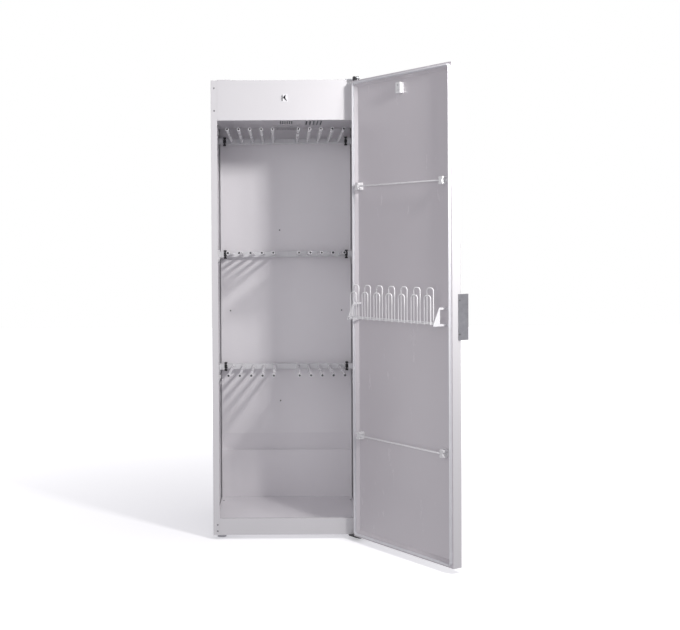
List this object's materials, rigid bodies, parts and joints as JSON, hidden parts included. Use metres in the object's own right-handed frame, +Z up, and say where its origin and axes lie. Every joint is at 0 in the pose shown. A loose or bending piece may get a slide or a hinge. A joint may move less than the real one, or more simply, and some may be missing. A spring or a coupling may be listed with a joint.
{
  "type": "drying cabinet",
  "caption": "Tall steel drying cabinet with a full-height hinged door, folding racks of open tubes, towel rails and a glove rack inside the door.",
  "frame": {"origin": "on the floor under the middle of the carcass, between the four feet", "axes": "+Z up, -Y is the door side, +X is to the right of a person facing the door; the door is stored standing open by 123 degrees"},
  "size_m": [0.9473, 1.1319, 1.875],
  "materials": {
    "white_enamel": "smooth satin powder coat",
    "galvanised": "dull zinc",
    "zinc_screw": "bright zinc",
    "white_nylon": "moulded, matt",
    "foot_grey": "moulded, matt",
    "black_nylon": "moulded, matt",
    "white_tube": "smooth gloss powder coat",
    "plated_wire": "bright plate",
    "brushed_pull": "brushed, grey",
    "gasket_rubber": "soft, pale grey",
    "mineral_wool": "fibrous",
    "dark_steel": "black",
    "motor_grey": "cast",
    "heater_steel": "heat-tinted",
    "board_green": "solder mask",
    "bezel_grey": "fine texture",
    "button_green": "smooth",
    "lamp_amber": "clear"
  },
  "bodies": {
    "carcass": {"side_panel_left": "white_enamel", "side_panel_right": "white_enamel", "back_panel": "white_enamel", "floor_panel": "white_enamel", "front_sill": "white_enamel", "fascia_panel": "white_enamel", "ceiling_panel": "white_enamel", "sensor_cover": "white_enamel", "top_cover": "white_enamel", "base_rails": "galvanised", "levelling_feet": "foot_grey", "foot_locknuts": "zinc_screw", "top_rack_bar": "white_tube", "top_rack_rods": "white_tube", "rack_pivot_bushes": "black_nylon", "rack_wall_brackets": "white_tube", "wall_clips": "white_nylon", "panel_screws": "zinc_screw", "rack_bracket_screws": "zinc_screw", "hinge_plate_top": "galvanised", "hinge_plate_bottom": "dark_steel", "hinge_pins": "zinc_screw", "hinge_guard": "black_nylon", "hinge_blank": "white_enamel", "hinge_screws": "zinc_screw", "catch_receptacle": "white_nylon", "door_switch": "black_nylon", "fan_housing": "galvanised", "fan_motor": "motor_grey", "heater_duct": "galvanised", "heating_element": "heater_steel", "thermostat": "zinc_screw", "exhaust_duct": "galvanised", "exhaust_spigot": "galvanised", "control_board": "board_green", "terminal_block": "white_nylon", "cable_gland": "black_nylon"},
    "middle_rack": {"middle_rack_bar": "white_tube", "middle_rack_rods": "white_tube"},
    "lower_rack": {"lower_rack_bar": "white_tube", "lower_rack_rods": "white_tube"},
    "fan": {"fan_impeller": "black_nylon"},
    "door": {"door_outer_skin": "white_enamel", "door_inner_panel": "white_enamel", "door_insulation": "mineral_wool", "door_gasket": "gasket_rubber", "door_hinge_bushes": "white_nylon", "towel_rails": "zinc_screw", "rail_holders": "white_nylon", "glove_rack_wires": "plated_wire", "glove_rack_brackets": "white_tube", "door_catch_block": "white_nylon", "pull_handle": "brushed_pull", "handle_screws": "zinc_screw", "catch_screws": "zinc_screw", "control_bezel": "bezel_grey", "control_module": "bezel_grey", "indicator_lamp": "lamp_amber"},
    "timer_knob": {"timer_knob": "black_nylon"},
    "start_button": {"start_button": "button_green"}
  },
  "joints": [
    {"name": "door_swing", "type": "hinge", "parent": "carcass", "child": "door", "pos_m": [0.2865, -0.332, 0.9], "axis": [0, 0, 1], "range_deg": [-123, 12]},
    {"name": "middle_rack_fold", "type": "hinge", "parent": "carcass", "child": "middle_rack", "pos_m": [0, 0.26, 1.137], "axis": [-1, 0, 0], "range_deg": [0, 90]},
    {"name": "lower_rack_fold", "type": "hinge", "parent": "carcass", "child": "lower_rack", "pos_m": [0, 0.26, 0.637], "axis": [-1, 0, 0], "range_deg": [0, 90]},
    {"name": "fan_spin", "type": "hinge", "parent": "carcass", "child": "fan", "pos_m": [-0.15, 0, 1.74], "axis": [0, 0, 1], "continuous": true},
    {"name": "timer_knob_turn", "type": "hinge", "parent": "door", "child": "timer_knob", "pos_m": [0.50457, -0.60354, 1.69], "axis": [0.8387, 0.5446, 0], "range_deg": [0, 300]},
    {"name": "start_button_press", "type": "slide", "parent": "door", "child": "start_button", "axis": [-0.8387, -0.5446, 0], "range_m": [0, 0.0025], "stiffness_N_per_m": 400}
  ]
}
